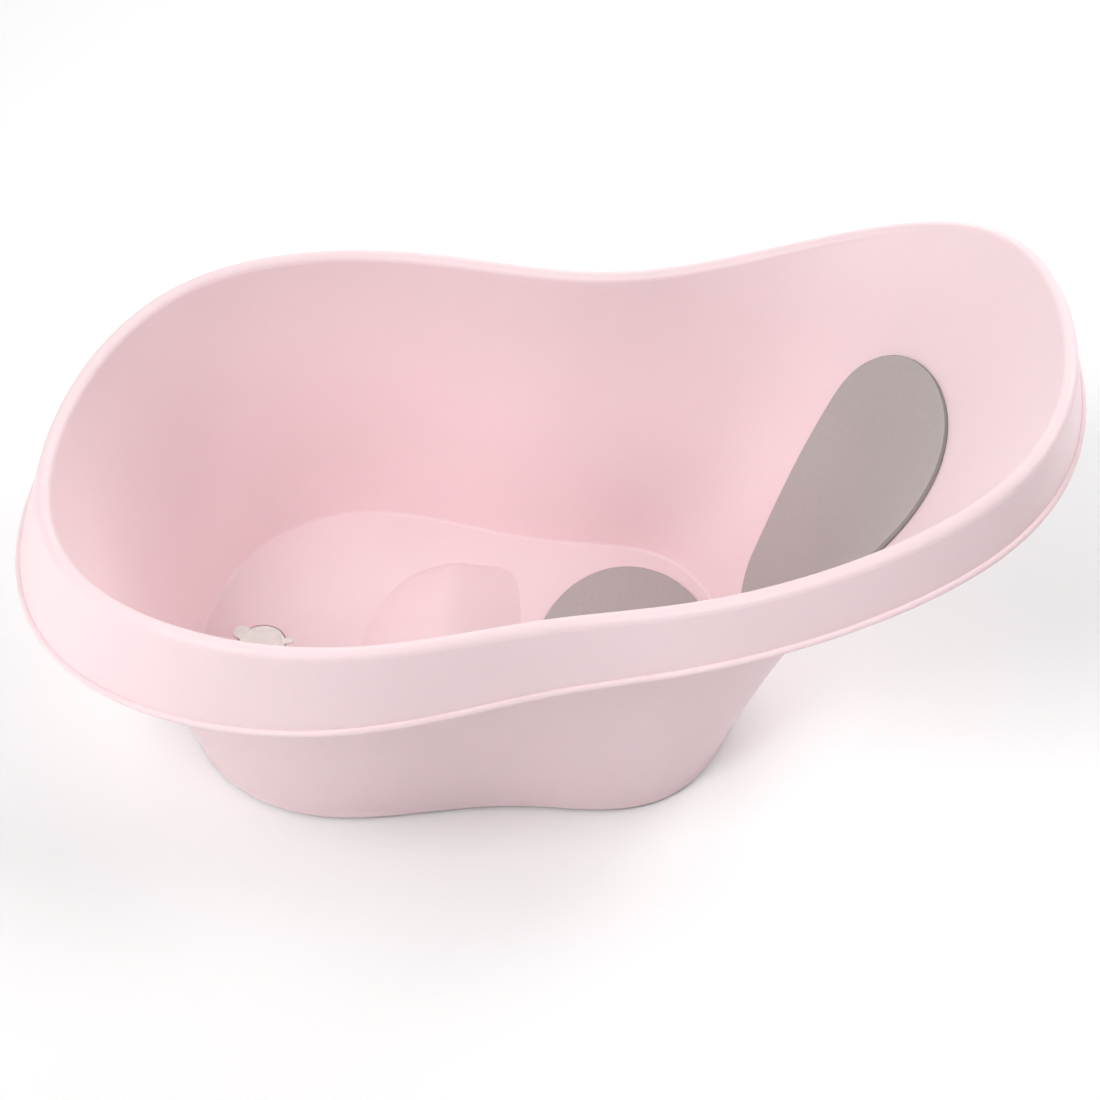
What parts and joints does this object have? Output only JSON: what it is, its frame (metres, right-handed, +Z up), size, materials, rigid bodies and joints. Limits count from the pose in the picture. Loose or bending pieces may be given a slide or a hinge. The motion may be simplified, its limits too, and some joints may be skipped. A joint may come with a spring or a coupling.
{
  "type": "baby bathtub",
  "caption": "Free-standing baby bath with a high sloping backrest end, seat bump, foam pads, drain plug, rolled rim and rubber feet.",
  "frame": {"origin": "on the ground, under the middle of the tub's overall length and width", "axes": "+X along the tub towards the high head end, +Y across it to the far side, +Z up; the tub is symmetric about the XZ plane"},
  "size_m": [0.699, 0.4238, 0.3498],
  "materials": {
    "pink_plastic": "fine matt moulded polypropylene",
    "grey_foam": "closed-cell foam skin",
    "adhesive_film": "clear double-sided film",
    "white_silicone": "soft satin silicone",
    "foot_rubber": "matt rubber"
  },
  "bodies": {
    "tub": {"tub_shell": "pink_plastic", "backrest_pad": "grey_foam", "backrest_adhesive": "adhesive_film", "seat_pad": "grey_foam", "seat_adhesive": "adhesive_film", "foot_head_near": "foot_rubber", "foot_head_far": "foot_rubber", "foot_toe_near": "foot_rubber", "foot_toe_far": "foot_rubber", "foot_adhesives": "adhesive_film"},
    "plug": {"drain_plug": "white_silicone"}
  },
  "joints": [
    {"name": "plug_lift", "type": "slide", "parent": "tub", "child": "plug", "axis": [0, 0, 1], "range_m": [0, 0.06]}
  ]
}
